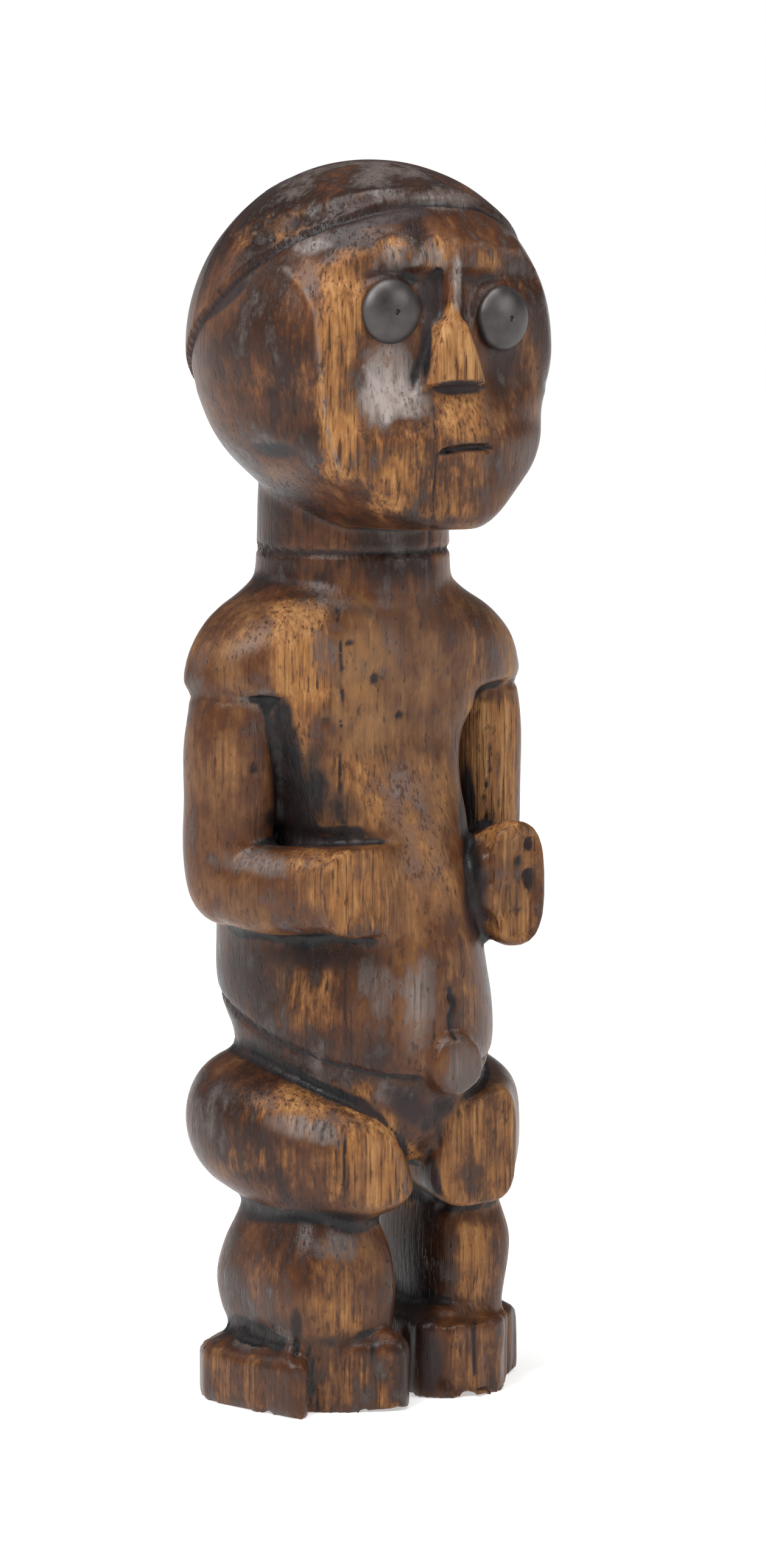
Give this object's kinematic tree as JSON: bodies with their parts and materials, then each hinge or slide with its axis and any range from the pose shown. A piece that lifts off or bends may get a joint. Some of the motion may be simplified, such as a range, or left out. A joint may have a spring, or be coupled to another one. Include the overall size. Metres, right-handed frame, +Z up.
{
  "type": "carved wooden ape figure",
  "caption": "Standing ape-like figure carved from one block of dark wood, arms bent and hands at the belly, with domed metal discs for eyes. It stands on its own feet.",
  "frame": {"origin": "on the ground below the middle of the figure's box, between the feet", "axes": "+Z up, the figure faces -Y and its left side is towards +X"},
  "size_m": [0.1404, 0.127, 0.4481],
  "materials": {
    "carved_wood": "hand-carved, oiled dark brown patina with worn orange-brown grain",
    "eye_metal": "dull dark grey, domed, with a small pin hole in the middle"
  },
  "bodies": {
    "root": {"figure": "carved_wood", "eye_disc_right": "eye_metal", "eye_disc_left": "eye_metal"}
  },
  "joints": []
}
